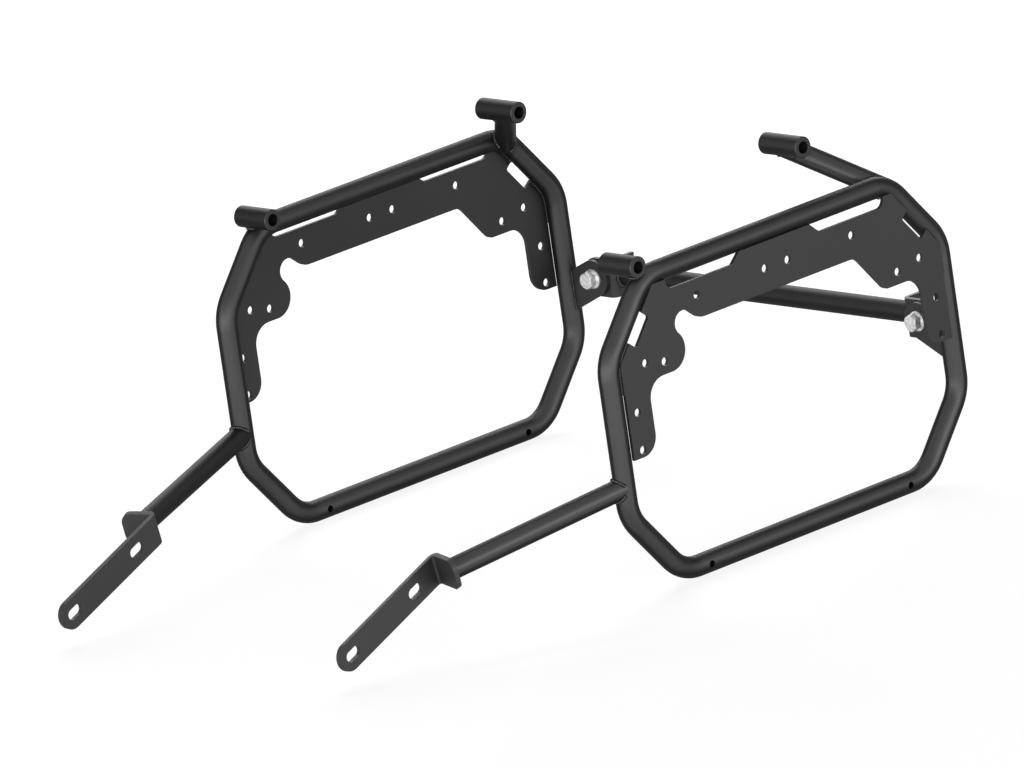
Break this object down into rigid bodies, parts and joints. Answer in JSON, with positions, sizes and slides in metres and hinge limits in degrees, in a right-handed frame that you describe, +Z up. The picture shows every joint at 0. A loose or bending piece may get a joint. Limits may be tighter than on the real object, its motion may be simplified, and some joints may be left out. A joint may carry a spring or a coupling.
{
  "type": "motorcycle pannier frame",
  "caption": "Pair of chamfered tube hoops with slotted case plates, joined by a rear cross brace, that carry side cases on a motorcycle by sleeves and foot brackets.",
  "frame": {"origin": "on the floor under the two bottom tubes, midway between the hoops and midway along the whole frame", "axes": "+X to the left side of the motorcycle, +Y to the rear, +Z up; the hoops' long straights lie along Y"},
  "size_m": [0.473, 0.6812, 0.3074],
  "materials": {
    "tube_coat": "satin black powder coat over bent and welded steel tube",
    "plate_coat": "satin black powder coat over cut steel sheet",
    "zinc": "bright zinc plate"
  },
  "bodies": {
    "root": {"left_hoop": "tube_coat", "left_case_plate": "plate_coat", "left_front_sleeve": "tube_coat", "left_rear_sleeve": "tube_coat", "left_rear_arm": "tube_coat", "left_lower_arm": "tube_coat", "left_foot_bracket": "plate_coat", "left_brace_lug": "plate_coat", "left_brace_bracket": "plate_coat", "right_hoop": "tube_coat", "right_case_plate": "plate_coat", "right_front_sleeve": "tube_coat", "right_rear_sleeve": "tube_coat", "right_rear_arm": "tube_coat", "right_lower_arm": "tube_coat", "right_foot_bracket": "plate_coat", "right_brace_lug": "plate_coat", "right_brace_bracket": "plate_coat", "cross_brace": "tube_coat", "brace_bolts": "zinc", "brace_nuts": "zinc"}
  },
  "joints": []
}
